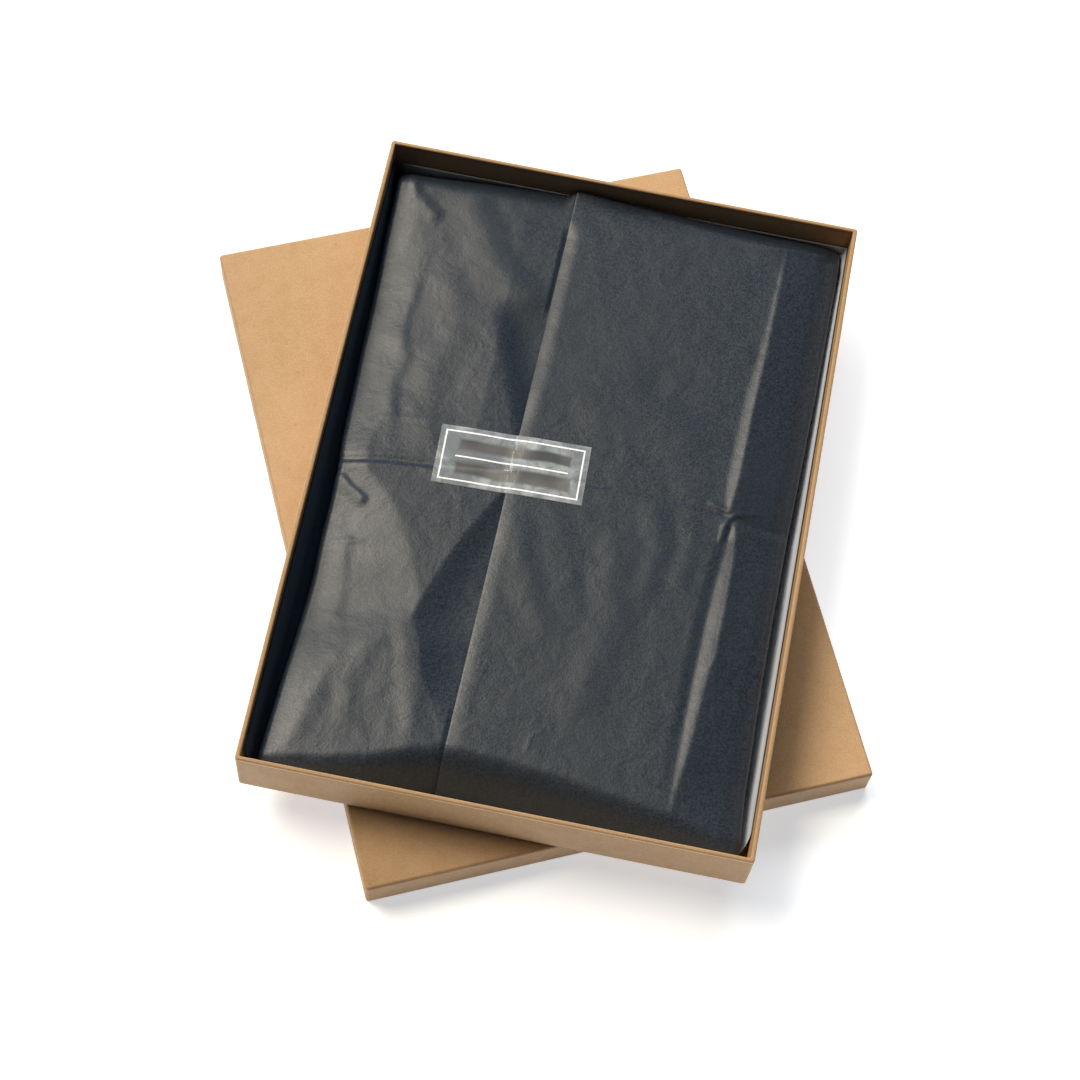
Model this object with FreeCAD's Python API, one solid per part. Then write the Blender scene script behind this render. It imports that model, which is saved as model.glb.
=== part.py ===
import FreeCAD, Part
import os
from FreeCAD import Vector

# Two-piece rigid gift box, open: the shallow tray stands crossed on its upturned lid and holds
# a parcel wrapped in tissue paper that a film seal closes.
# Millimetres, +Z up. The origin is the centre of the lid's outline, on the surface that the
# lid's rim stands on. +X runs across the tray and +Y along it.

# Overall sizes of the tray, outside the wrap paper.
tray_width = 220.0
tray_length = 310.0
tray_height = 32.0
lid_height = 18.0

# Stock: greyboard core, kraft wrap paper, and the gummed tape at the corners.
board = 1.5
paper = 0.2
stay_tape = 0.1
board_corner_radius = 1.1
board_rim_radius = 0.5
inner_corner_radius = 0.5
rim_lip = 1.2
stay_leg = 20.0
stay_end_gap = 1.0

# The lid slips over the tray with this clearance on each side. Here it lies under the tray.
lid_clearance = 0.5
lid_turn = 25.0
tray_offset_x = 11.3
tray_offset_y = -0.3

# Loose sheet under the parcel, with two margins that stand up against the walls.
sheet = 0.3
sheet_wall_gap = 1.5
sheet_right_margin = 15.0
sheet_far_margin = 13.0

# Tissue paper, drawn thicker than it is, with air between its layers.
tissue = 0.4
tissue_air = 0.3

# Parcel inside the tray.
parcel_drop = 5.8
parcel_side_gap = 6.3
parcel_end_gap = 4.4
contents_edge_radius = 10.0
fold_slit = 0.4
tissue_base_height = 12.0
flap_end_height = 13.5

# Free edges of the two tissue flaps, from the tray's middle line.
right_flap_edge = -24.0
flap_overlap = 40.0

# Film seal that bridges the right flap's free edge.
seal_length = 67.5
seal_width = 29.0
seal_film = 0.2
seal_corner_radius = 0.6
seal_centre_y = 6.3

# Sizes that follow from those above.
wall = paper + stay_tape + board + paper
floor_build = paper + board + paper
lid_width = tray_width + 2 * (lid_clearance + wall)
lid_length = tray_length + 2 * (lid_clearance + wall)
cavity_half_x = tray_width / 2 - wall
cavity_half_y = tray_length / 2 - wall
tray_floor = lid_height + floor_build
tray_rim = lid_height + tray_height
fold_layers = 3
wrap_growth = fold_layers * (tissue + tissue_air)
contents_half_x = cavity_half_x - parcel_side_gap - tissue_air - tissue
contents_half_y = cavity_half_y - parcel_end_gap - wrap_growth
contents_bottom = tray_floor + sheet + tissue
contents_top = tray_rim - parcel_drop - wrap_growth
fold_line = contents_half_x - contents_edge_radius


def block(x0, x1, y0, y1, z0, z1):
    """Plain box between two corners."""
    return Part.makeBox(x1 - x0, y1 - y0, z1 - z0, Vector(x0, y0, z0))


def centred_block(half_x, half_y, z0, z1):
    """Plain box centred on the Z axis."""
    return block(-half_x, half_x, -half_y, half_y, z0, z1)


def upright_edges(shape):
    """Edges of a box that run along Z."""
    return [e for e in shape.Edges if e.BoundBox.ZLength > 0.5 * shape.BoundBox.ZLength]


def edges_at_height(shape, z):
    """Edges of a shape that lie flat at one height."""
    return [e for e in shape.Edges if abs(e.BoundBox.ZMin - z) < 1e-4 and abs(e.BoundBox.ZMax - z) < 1e-4]


def tray_block(half_x, half_y, z0, z1, corner_radius, rim_radius):
    """Box with its upright and bottom edges rounded to one radius, and its rim to a smaller one."""
    shape = centred_block(half_x, half_y, z0, z1)
    shape = shape.makeFillet(corner_radius, upright_edges(shape) + edges_at_height(shape, z0))
    return shape.makeFillet(rim_radius, edges_at_height(shape, z1))


def pillow_block(half_x, half_y, z0, z1, radius):
    """Box with its upright and top edges rounded, and a flat underside."""
    shape = centred_block(half_x, half_y, z0, z1)
    return shape.makeFillet(radius, upright_edges(shape) + edges_at_height(shape, z1))


def open_shell(outer, half_x, half_y, floor, rim, corner_radius, lip_radius):
    """Hollow out a block from above, and round the inner edge of its rim."""
    hollow = centred_block(half_x, half_y, floor, rim + 1.0)
    hollow = hollow.makeFillet(corner_radius, upright_edges(hollow))
    shell = outer.cut(hollow)
    lip = []
    for edge in edges_at_height(shell, rim):
        middle = edge.BoundBox.Center
        if abs(middle.x) <= half_x and abs(middle.y) <= half_y:
            lip.append(edge)
    return shell.makeFillet(lip_radius, lip)


def wall_zones(width, length, depth):
    """Four mitred strips of plan area, one along each wall."""
    x, y = width / 2 + 1.0, length / 2 + 1.0
    inner_x, inner_y = x - depth, y - depth
    outlines = {
        "far": [(-x, y), (x, y), (inner_x, inner_y), (-inner_x, inner_y)],
        "near": [(-x, -y), (x, -y), (inner_x, -inner_y), (-inner_x, -inner_y)],
        "left": [(-x, -y), (-x, y), (-inner_x, inner_y), (-inner_x, -inner_y)],
        "right": [(x, -y), (x, y), (inner_x, inner_y), (inner_x, -inner_y)],
    }
    zones = {}
    for side, outline in outlines.items():
        corners = [Vector(px, py, -1.0) for px, py in outline]
        face = Part.Face(Part.makePolygon(corners + corners[:1]))
        zones[side] = face.extrude(Vector(0, 0, 200.0))
    return zones


def rigid_half(width, length, height):
    """Board, stays, wrap, turn-ins and lining of one half, open upwards, standing on z = 0."""
    half_x, half_y = width / 2, length / 2
    core_corner, core_rim = board_corner_radius + stay_tape, board_rim_radius + stay_tape
    board_top = height - paper
    floor = paper + board
    board_half_x, board_half_y = half_x - paper - stay_tape, half_y - paper - stay_tape
    core_half_x, core_half_y = half_x - paper, half_y - paper
    inner_half_x, inner_half_y = half_x - wall, half_y - wall
    turn_half_x, turn_half_y = inner_half_x + paper, inner_half_y + paper

    envelope = tray_block(half_x, half_y, 0, height, core_corner + paper, core_rim + paper)
    core = tray_block(core_half_x, core_half_y, paper, board_top, core_corner, core_rim)
    board_block = tray_block(
        board_half_x, board_half_y, paper, board_top, board_corner_radius, board_rim_radius)
    hollow_size = (turn_half_x, turn_half_y, floor, board_top, inner_corner_radius + paper)
    core_shell = open_shell(core, *hollow_size, board_rim_radius)
    board_shell = open_shell(board_block, *hollow_size, board_rim_radius)
    finished = open_shell(
        envelope, inner_half_x, inner_half_y, floor, height, inner_corner_radius, board_rim_radius + paper)

    parts = {}
    parts["panel_board"] = board_shell.common(centred_block(half_x, half_y, 0, floor))
    walls = board_shell.common(centred_block(half_x, half_y, floor, height))
    parts["wall_board_far"] = walls.common(block(-half_x, half_x, turn_half_y, half_y, 0, height))
    parts["wall_board_near"] = walls.common(block(-half_x, half_x, -half_y, -turn_half_y, 0, height))
    parts["wall_board_left"] = walls.common(block(-half_x, 0, -turn_half_y, turn_half_y, 0, height))
    parts["wall_board_right"] = walls.common(block(0, half_x, -turn_half_y, turn_half_y, 0, height))

    stay_layer = core.cut(board_block)
    stay_z0, stay_z1 = floor + stay_end_gap, board_top - rim_lip
    for x_name, x_sign in (("left", -1), ("right", 1)):
        for y_name, y_sign in (("near", -1), ("far", 1)):
            x_range = sorted((x_sign * half_x, x_sign * (half_x - stay_leg)))
            y_range = sorted((y_sign * half_y, y_sign * (half_y - stay_leg)))
            corner = block(*x_range, *y_range, stay_z0, stay_z1)
            parts["corner_stay_%s_%s" % (y_name, x_name)] = stay_layer.common(corner)

    lip_start = height - rim_lip
    skin = envelope.cut(core)
    parts["outer_wrap"] = skin.common(centred_block(half_x, half_y, 0, lip_start))

    paper_layers = finished.cut(core_shell)
    inner_side = paper_layers.common(centred_block(turn_half_x, turn_half_y, floor, height))
    over_rim = paper_layers.common(centred_block(half_x, half_y, lip_start, height))
    turn_ins = inner_side.fuse(over_rim).removeSplitter()
    for side, zone in wall_zones(width, length, 3 * wall).items():
        parts["turn_in_" + side] = turn_ins.common(zone)

    parts["inner_liner"] = centred_block(inner_half_x, inner_half_y, floor, floor + paper)
    liner_edges = upright_edges(parts["inner_liner"])
    parts["inner_liner"] = parts["inner_liner"].makeFillet(inner_corner_radius, liner_edges)
    return parts


def place_lid(shape):
    """Turn a half upside down and to the angle at which the lid lies under the tray."""
    upturned = shape.mirror(Vector(0, 0, 0), Vector(0, 0, 1))
    upturned.translate(Vector(0, 0, lid_height))
    upturned.rotate(Vector(0, 0, 0), Vector(0, 0, 1), lid_turn)
    return upturned


def place_in_tray(shape):
    """Move a shape from the tray's own middle line to where the tray stands."""
    moved = shape.copy()
    moved.translate(Vector(tray_offset_x, tray_offset_y, 0))
    return moved


def under_sheet():
    """Loose sheet on the tray's floor, with its right and far margins turned up."""
    half_x, half_y = cavity_half_x - sheet_wall_gap, cavity_half_y - sheet_wall_gap
    top = tray_floor + sheet
    flat = centred_block(half_x, half_y, tray_floor, top)
    right = block(half_x - sheet, half_x, -half_y, half_y, tray_floor, top + sheet_right_margin)
    far = block(-half_x, half_x, half_y - sheet, half_y, tray_floor, top + sheet_far_margin)
    return flat.fuse(right).fuse(far).removeSplitter()


def parcel_envelope(growth, bottom):
    """The contents' outline grown evenly at its sides and top."""
    return pillow_block(
        contents_half_x + growth, contents_half_y + growth, bottom,
        contents_top + growth, contents_edge_radius + growth)


def tissue_layer(number):
    """Shell of tissue of one layer, counted outwards from the contents."""
    inner = (number - 1) * (tissue + tissue_air) + tissue_air
    bottom = contents_bottom
    return parcel_envelope(inner + tissue, bottom - tissue).cut(parcel_envelope(inner, bottom))


def tissue_base():
    """Tissue under the contents, up their ends, and over their side shoulders."""
    half_x, half_y = cavity_half_x, cavity_half_y
    slit = fold_line + fold_slit
    low = centred_block(half_x, half_y, tray_floor, tray_floor + tissue_base_height)
    left = block(-half_x, -slit, -half_y, half_y, tray_floor, tray_rim)
    right = block(slit, half_x, -half_y, half_y, tray_floor, tray_rim)
    return tissue_layer(1).common(low.fuse(left).fuse(right)).removeSplitter()


def tissue_flap(number, x0, x1):
    """Tissue over the top and down both ends, between two lines along Y."""
    low = tray_floor + flap_end_height
    return tissue_layer(number).common(block(x0, x1, -cavity_half_y, cavity_half_y, low, tray_rim))


def seal_sticker():
    """Flat film rectangle on the right flap, half of it past the free edge."""
    z0 = contents_top + wrap_growth
    x0 = right_flap_edge - seal_length / 2
    y0 = seal_centre_y - seal_width / 2
    film = block(x0, x0 + seal_length, y0, y0 + seal_width, z0, z0 + seal_film)
    return film.makeFillet(seal_corner_radius, [e for e in film.Edges if e.BoundBox.ZLength > 0])


nodes = {}
for name, shape in rigid_half(lid_width, lid_length, lid_height).items():
    nodes["lid_" + name] = place_lid(shape)
for name, shape in rigid_half(tray_width, tray_length, tray_height).items():
    shape.translate(Vector(0, 0, lid_height))
    nodes["tray_" + name] = place_in_tray(shape)

contents = pillow_block(
    contents_half_x, contents_half_y, contents_bottom, contents_top, contents_edge_radius)
nodes["under_sheet"] = place_in_tray(under_sheet())
nodes["folded_contents"] = place_in_tray(contents)
nodes["tissue_base"] = place_in_tray(tissue_base())
nodes["tissue_left_flap"] = place_in_tray(
    tissue_flap(2, fold_slit - fold_line, right_flap_edge + flap_overlap))
nodes["tissue_right_flap"] = place_in_tray(tissue_flap(3, right_flap_edge, fold_line - fold_slit))
nodes["seal_sticker"] = place_in_tray(seal_sticker())

os.makedirs("parts", exist_ok=True)
for name, shape in nodes.items():
    shape.exportStep("parts/%s.step" % name)
    print("%-26s solids %d valid %s volume %.1f" % (name, len(shape.Solids), shape.isValid(), shape.Volume))
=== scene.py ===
import bpy
import numpy as np
from mathutils import Matrix, Vector


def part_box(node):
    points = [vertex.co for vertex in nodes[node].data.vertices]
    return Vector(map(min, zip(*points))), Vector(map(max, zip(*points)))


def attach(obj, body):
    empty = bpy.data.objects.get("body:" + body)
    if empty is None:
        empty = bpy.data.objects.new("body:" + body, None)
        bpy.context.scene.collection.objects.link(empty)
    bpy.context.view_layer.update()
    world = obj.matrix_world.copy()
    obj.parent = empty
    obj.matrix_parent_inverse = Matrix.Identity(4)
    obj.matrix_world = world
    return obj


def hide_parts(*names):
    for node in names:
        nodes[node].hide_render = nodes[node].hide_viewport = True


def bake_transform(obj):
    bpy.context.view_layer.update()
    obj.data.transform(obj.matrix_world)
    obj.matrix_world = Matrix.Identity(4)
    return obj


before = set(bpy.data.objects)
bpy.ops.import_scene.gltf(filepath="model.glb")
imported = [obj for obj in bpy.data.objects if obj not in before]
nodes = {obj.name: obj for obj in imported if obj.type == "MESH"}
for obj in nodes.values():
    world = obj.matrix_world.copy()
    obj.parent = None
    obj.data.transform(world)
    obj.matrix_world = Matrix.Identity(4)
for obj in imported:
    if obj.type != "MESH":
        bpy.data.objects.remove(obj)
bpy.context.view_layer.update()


# Board core of both halves: a panel and four wall strips of grey millboard, 1.5 mm thick,
# pressed from recycled pulp with pale and dark specks in it. The wrap hides all of it
# except where a corner is damaged.
def add_node(tree, kind, inputs=(), **settings):
    """Adds one shader node; inputs are sockets to join or values to set, by name or number."""
    made = tree.nodes.new(kind)
    for name, value in settings.items():
        setattr(made, name, value)
    for name, value in dict(inputs).items():
        if isinstance(value, bpy.types.NodeSocket):
            tree.links.new(value, made.inputs[name])
        else:
            made.inputs[name].default_value = value
    return made


def maths(tree, operation, *values):
    """One Math node's result; each value is a number or a socket."""
    return add_node(tree, "ShaderNodeMath", enumerate(values), operation=operation).outputs[0]


def ramp(tree, value, low, high, out_low=0.0, out_high=1.0, smooth=True):
    """A value from low to high becomes one from out_low to out_high, and stays between them."""
    kind = "SMOOTHSTEP" if smooth else "LINEAR"
    inputs = {"Value": value, "From Min": low, "From Max": high, "To Min": out_low, "To Max": out_high}
    return add_node(tree, "ShaderNodeMapRange", inputs, interpolation_type=kind).outputs[0]


def tint(tree, factor, first, second, blend="MIX"):
    """The first colour going to the second with the factor."""
    mix = add_node(tree, "ShaderNodeMix", {0: factor, 6: first, 7: second}, data_type="RGBA", blend_type=blend)
    return mix.outputs[2]


def new_group(name, inputs, outputs):
    """An empty shader group with named sockets; gives the group, its inputs and its end node."""
    group = bpy.data.node_groups.new(name, "ShaderNodeTree")
    for label, kind, value in inputs:
        socket = group.interface.new_socket(label, in_out="INPUT", socket_type="NodeSocket" + kind)
        if value is not None:
            socket.default_value = value
    for label, kind in outputs:
        group.interface.new_socket(label, in_out="OUTPUT", socket_type="NodeSocket" + kind)
    start, end = group.nodes.new("NodeGroupInput"), group.nodes.new("NodeGroupOutput")
    return group, start.outputs, end


def use_group(tree, group, **inputs):
    """Places a group in a tree with its own values, and gives its outputs."""
    made = tree.nodes.new("ShaderNodeGroup")
    made.node_tree = group
    for name, value in inputs.items():
        if isinstance(value, bpy.types.NodeSocket):
            tree.links.new(value, made.inputs[name])
        else:
            made.inputs[name].default_value = value
    return made.outputs


pulp, pulp_in, pulp_end = new_group(
    "paper_pulp",
    [("Vector", "Vector", None), ("Fine", "Float", 900.0), ("Cloudy", "Float", 40.0)],
    [("Grain", "Float"), ("Cloud", "Float"), ("Strand", "Float"), ("Speck", "Float")],
)
# Fibres curl: the place that is looked up is pushed about by a noise of a few fibre widths.
push = add_node(pulp, "ShaderNodeTexNoise", {"Vector": pulp_in["Vector"],
    "Scale": maths(pulp, "MULTIPLY", pulp_in["Fine"], 0.35), "Detail": 1.0})
push = add_node(pulp, "ShaderNodeVectorMath", {0: push.outputs["Color"], 1: (0.5, 0.5, 0.5)},
    operation="SUBTRACT")
push = add_node(pulp, "ShaderNodeVectorMath", {0: push.outputs[0],
    "Scale": maths(pulp, "DIVIDE", 2.4, pulp_in["Fine"])}, operation="SCALE")
curled = add_node(pulp, "ShaderNodeVectorMath", {0: pulp_in["Vector"], 1: push.outputs[0]},
    operation="ADD").outputs[0]
long_way = add_node(pulp, "ShaderNodeVectorMath", {0: curled, 1: (1.0, 0.4, 1.0)},
    operation="MULTIPLY").outputs[0]
grain = add_node(pulp, "ShaderNodeTexNoise", {"Vector": pulp_in["Vector"], "Scale": pulp_in["Fine"],
    "Detail": 3.0, "Roughness": 0.65})
cloud = add_node(pulp, "ShaderNodeTexNoise", {"Vector": pulp_in["Vector"], "Scale": pulp_in["Cloudy"],
    "Detail": 4.0, "Roughness": 0.6, "Distortion": 0.3})
strand = add_node(pulp, "ShaderNodeTexNoise", {"Vector": long_way,
    "Scale": maths(pulp, "MULTIPLY", pulp_in["Fine"], 0.5), "Detail": 2.0, "Roughness": 0.5},
        noise_type="RIDGED_MULTIFRACTAL")
speck = add_node(pulp, "ShaderNodeTexVoronoi", {"Vector": long_way,
    "Scale": maths(pulp, "MULTIPLY", pulp_in["Fine"], 0.22)})
pulp.links.new(grain.outputs[0], pulp_end.inputs["Grain"])
pulp.links.new(cloud.outputs[0], pulp_end.inputs["Cloud"])
pulp.links.new(ramp(pulp, strand.outputs[0], 1.0, 1.9), pulp_end.inputs["Strand"])
pulp.links.new(ramp(pulp, speck.outputs["Distance"], 0.16, 0.06), pulp_end.inputs["Speck"])


def new_material(name, **sockets):
    """An empty material with its own Principled shader, whose plain sockets are set here; gives its tree and
    shader."""
    material = bpy.data.materials.new(name)
    material.use_nodes = True
    tree = material.node_tree
    shader = tree.nodes["Principled BSDF"]
    for label, value in sockets.items():
        shader.inputs[label.replace("_", " ")].default_value = value
    place = add_node(tree, "ShaderNodeTexCoord").outputs["Object"]
    return material, tree, shader, place


def relief(tree, shader, height, strength, distance, under=None):
    """Puts a height into the shader's normal through a Bump node, over another one if given."""
    inputs = {"Height": height, "Strength": strength, "Distance": distance}
    if under is not None:
        inputs["Normal"] = under
    bump = add_node(tree, "ShaderNodeBump", inputs)
    tree.links.new(bump.outputs[0], shader.inputs["Normal"])
    return bump.outputs[0]


greyboard, tree, shader, place = new_material("greyboard", Roughness=0.9)
fibre = use_group(tree, pulp, Vector=place, Fine=700.0, Cloudy=90.0)
tone = tint(tree, fibre["Grain"], (0.20, 0.185, 0.165, 1), (0.34, 0.32, 0.29, 1))
tone = tint(tree, ramp(tree, fibre["Cloud"], 0.35, 0.7), tone, (0.30, 0.275, 0.24, 1))
tone = tint(tree, fibre["Speck"], tone, (0.62, 0.60, 0.56, 1))
tree.links.new(tone, shader.inputs["Base Color"])
relief(tree, shader, fibre["Grain"], 0.5, 0.0002)

for half in ("lid", "tray"):
    for part in ("panel_board", "wall_board_far", "wall_board_near", "wall_board_left", "wall_board_right"):
        nodes[half + "_" + part].material_slots[0].material = greyboard


# Corner stays: strips of gummed brown tape, wetted and pressed round each upright corner to
# hold the folded-up walls together before the box is wrapped.
stay_tape, tree, shader, place = new_material("stay_tape", Roughness=0.62)
fibre = use_group(tree, pulp, Vector=place, Fine=1100.0, Cloudy=60.0)
tone = tint(tree, fibre["Grain"], (0.23, 0.13, 0.065, 1), (0.36, 0.22, 0.12, 1))
tone = tint(tree, fibre["Strand"], tone, (0.42, 0.28, 0.16, 1))
tree.links.new(tone, shader.inputs["Base Color"])
tree.links.new(ramp(tree, fibre["Cloud"], 0.3, 0.7, 0.5, 0.75), shader.inputs["Roughness"])
relief(tree, shader, fibre["Grain"], 0.4, 0.00015)

for name in nodes:
    if "corner_stay" in name:
        nodes[name].material_slots[0].material = stay_tape


# Kraft wrap of both halves: one sheet of unbleached brown paper glued over the board, folded
# over the rim and turned in, with a plain lining inside. The paper is matt, cloudy and full of
# short fibres. Painted shade darkens it along the fold at the panel's edge and in a band just
# under the rim. On the rim's top, a painted highlight makes the outer edge pale and painted
# shade makes the inner edge dark.
edge_band, edge_band_in, edge_band_end = new_group(
    "edge_band_line", [("Distance", "Float", 0.0), ("Width", "Float", 0.001)], [("Mask", "Float")]
)
span = maths(edge_band, "DIVIDE", maths(edge_band, "ABSOLUTE", edge_band_in["Distance"]), edge_band_in["Width"])
edge_band.links.new(ramp(edge_band, span, 1.0, 0.0), edge_band_end.inputs["Mask"])


def kraft_paper(name, middle, turn, half_size, panel_z, rim_z):
    """Kraft paper on one half: its cloud and fibres, then the lines at the folds and corners, with painted
    shade along the panel's fold and under the rim and a painted highlight and painted shade on the rim's top,
    found by how far a point is from the outline's edges and from the panel's and the rim's heights."""
    material, tree, shader, place = new_material(name, Roughness=0.7)
    shader.inputs["Specular IOR Level"].default_value = 0.4
    own = add_node(tree, "ShaderNodeVectorMath", {0: place, 1: tuple(middle)}, operation="SUBTRACT").outputs[0]
    own = add_node(tree, "ShaderNodeVectorRotate", {"Vector": own, "Angle": -turn},
        rotation_type="Z_AXIS").outputs[0]
    fibre = use_group(tree, pulp, Vector=own, Fine=1300.0, Cloudy=120.0)
    broad = use_group(tree, pulp, Vector=own, Fine=420.0, Cloudy=14.0)
    tone = tint(tree, ramp(tree, fibre["Grain"], 0.3, 0.7), (0.385, 0.235, 0.118, 1), (0.505, 0.322, 0.170, 1))
    tone = tint(tree, ramp(tree, broad["Grain"], 0.35, 0.75, 0.0, 0.3), tone, (0.530, 0.345, 0.190, 1))
    tone = tint(tree, ramp(tree, fibre["Cloud"], 0.40, 0.75, 0.0, 0.25), tone, (0.355, 0.208, 0.100, 1))
    tone = tint(tree, ramp(tree, broad["Cloud"], 0.35, 0.75, 0.0, 0.35), tone, (0.560, 0.365, 0.205, 1))
    tone = tint(tree, maths(tree, "MULTIPLY", fibre["Strand"], 0.35), tone, (0.60, 0.41, 0.25, 1))
    tone = tint(tree, maths(tree, "MULTIPLY", fibre["Speck"], 0.22), tone, (0.20, 0.115, 0.055, 1))
    part = add_node(tree, "ShaderNodeSeparateXYZ", {0: own}).outputs
    in_x = maths(tree, "SUBTRACT", half_size[0], maths(tree, "ABSOLUTE", part[0]))
    in_y = maths(tree, "SUBTRACT", half_size[1], maths(tree, "ABSOLUTE", part[1]))
    inward = maths(tree, "MINIMUM", in_x, in_y)
    along = maths(tree, "ADD", in_x, in_y)
    at_panel = maths(tree, "ADD", inward, maths(tree, "ABSOLUTE",
        maths(tree, "SUBTRACT", part[2], panel_z - middle[2])))
    at_rim = maths(tree, "ABSOLUTE", maths(tree, "SUBTRACT", part[2], rim_z - middle[2]))
    wobble = maths(tree, "MULTIPLY", maths(tree, "SUBTRACT", broad["Grain"], 0.5), 0.0006)
    fold_gloss_and_shade = use_group(tree, edge_band, Distance=maths(tree, "ADD", at_panel, wobble), Width=0.0016)["Mask"]
    corner = use_group(tree, edge_band, Distance=maths(tree, "ADD", along, wobble), Width=0.0022)["Mask"]
    rim_highlight_and_shade = use_group(tree, edge_band, Distance=maths(tree, "ADD", at_rim, wobble), Width=0.0009)["Mask"]
    under_rim_shade = use_group(tree, edge_band, Distance=maths(tree, "SUBTRACT", at_rim, 0.0013), Width=0.0006)["Mask"]
    # Painted shade: the fold line at the panel's edge and a band 1.3 mm from the rim are darkened for the shade
    # of the rounded edges.
    tone = tint(tree, maths(tree, "MULTIPLY", fold_gloss_and_shade, 0.55), tone, (0.23, 0.118, 0.045, 1))
    tone = tint(tree, maths(tree, "MULTIPLY", under_rim_shade, 0.4), tone, (0.27, 0.150, 0.065, 1))
    tone = tint(tree, maths(tree, "MULTIPLY", corner, 0.35), tone, (0.62, 0.43, 0.27, 1))
    # Painted highlight and shade on the rim's top: its outer edge is painted pale and its inner edge is painted
    # dark.
    rim_painted_highlight = maths(tree, "MULTIPLY", rim_highlight_and_shade, ramp(tree, inward, 0.0015, 0.0009))
    rim_painted_shade = maths(tree, "MULTIPLY", rim_highlight_and_shade, ramp(tree, inward, 0.0013, 0.0018))
    tone = tint(tree, maths(tree, "MULTIPLY", rim_painted_highlight, 0.9), tone, (0.76, 0.58, 0.35, 1))
    tone = tint(tree, maths(tree, "MULTIPLY", rim_painted_shade, 0.6), tone, (0.24, 0.135, 0.06, 1))
    tree.links.new(tone, shader.inputs["Base Color"])
    tree.links.new(ramp(tree, maths(tree, "ADD", maths(tree, "MULTIPLY", fibre["Cloud"], 0.5),
        maths(tree, "MULTIPLY", fold_gloss_and_shade, -0.3)), 0.0, 0.5, 0.5, 0.78), shader.inputs["Roughness"])
    height = maths(tree, "ADD", fibre["Grain"], maths(tree, "MULTIPLY", fibre["Strand"], 0.6))
    height = maths(tree, "ADD", height, maths(tree, "MULTIPLY", broad["Grain"], 1.5))
    relief(tree, shader, height, 0.25, 0.0003)
    return material


def half_of(name):
    """Middle of a CAD node's box, and its lowest and highest corner."""
    low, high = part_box(name)
    return (low + high) / 2, low, high


lid_turn = np.radians(25.0)
lid_half_size = (0.1125, 0.1575)
lid_middle, lid_low, lid_high = half_of("lid_outer_wrap")
tray_middle, tray_low, tray_high = half_of("tray_outer_wrap")
tray_half_size = (tray_high.x - tray_middle.x, tray_high.y - tray_middle.y)
lid_kraft = kraft_paper("lid_kraft", lid_middle, lid_turn, lid_half_size, lid_high.z, lid_low.z)
tray_kraft = kraft_paper("tray_kraft", tray_middle, 0.0, tray_half_size, tray_low.z, tray_high.z)
for name in nodes:
    if "outer_wrap" in name or "turn_in" in name or "inner_liner" in name:
        nodes[name].material_slots[0].material = lid_kraft if name.startswith("lid") else tray_kraft


# Loose sheet under the parcel: plain white uncoated paper, a little larger than the tray's
# floor, so that its right and far margins stand up between the parcel and the walls. Its
# white is painted as a cool grey: painted shade for the deep gaps where the margins show.
mm = 0.001
middle_x, middle_y = tray_middle.x / mm, tray_middle.y / mm
rim = tray_high.z / mm


def soft_step(t):
    """Smooth rise from 0 to 1 while t goes from 0 to 1: three t squared less two t cubed."""
    t = np.clip(t, 0.0, 1.0)
    return t * t * (3.0 - 2.0 * t)


def soft_hills(x, y, cell, seed):
    """Hills from -1 to 1: random numbers on a square lattice of that cell, joined by soft steps."""
    numbers = np.random.default_rng(seed).uniform(-1.0, 1.0, (128, 128))
    u, v = x / cell + 64.0, y / cell + 64.0
    i, j = np.floor(u).astype(int) % 127, np.floor(v).astype(int) % 127
    s, t = soft_step(u - np.floor(u)), soft_step(v - np.floor(v))
    near = numbers[i, j] * (1 - s) + numbers[i + 1, j] * s
    far = numbers[i, j + 1] * (1 - s) + numbers[i + 1, j + 1] * s
    return near * (1 - t) + far * t


def grid_piece(name, x, y, z, material, turned_over=False):
    """A mesh on a grid of points, given in millimetres from the tray's middle: each cell is one face. Its UV
    map is each point's share of the way along the grid's rows and columns."""
    points = np.stack([x + middle_x, y + middle_y, z], -1).astype(float) * mm
    rows, columns = x.shape
    index = np.arange(rows * columns).reshape(rows, columns)
    faces = np.stack([index[:-1, :-1], index[1:, :-1], index[1:, 1:], index[:-1, 1:]], -1).reshape(-1, 4)
    faces = faces[:, ::-1] if turned_over else faces
    mesh = bpy.data.meshes.new(name)
    mesh.from_pydata(points.reshape(-1, 3).tolist(), [], faces.tolist())
    mesh.polygons.foreach_set("use_smooth", np.ones(len(faces), bool))
    across, along = np.meshgrid(np.linspace(0, 1, rows), np.linspace(0, 1, columns), indexing="ij")
    uv = np.stack([across, along], -1).reshape(-1, 2)[faces.reshape(-1)]
    mesh.uv_layers.new(name="UVMap").data.foreach_set("uv", uv.astype(np.float32).ravel())
    mesh.materials.append(material)
    piece = bpy.data.objects.new(name, mesh)
    bpy.context.scene.collection.objects.link(piece)
    return piece


def thicken(piece, thickness):
    """Gives a sheet its thickness, in millimetres, on the side away from its face."""
    solid = piece.modifiers.new("thickness", "SOLIDIFY")
    solid.thickness = thickness * mm
    solid.offset = -1.0
    return piece


white_paper, tree, shader, place = new_material("white_paper", Roughness=0.75)
fibre = use_group(tree, pulp, Vector=place, Fine=1500.0, Cloudy=70.0)
# Painted shade: the white paper's colour is a cool mid grey, darkened and blued for the shade in the gaps.
tone = tint(tree, fibre["Grain"], (0.46, 0.485, 0.53, 1), (0.56, 0.58, 0.62, 1))
tone = tint(tree, ramp(tree, fibre["Cloud"], 0.4, 0.8, 0.0, 0.5), tone, (0.43, 0.455, 0.50, 1))
tree.links.new(tone, shader.inputs["Base Color"])
relief(tree, shader, fibre["Grain"], 0.3, 0.0001)

sheet_low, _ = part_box("under_sheet")
sheet_floor = sheet_low.z / mm


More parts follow.
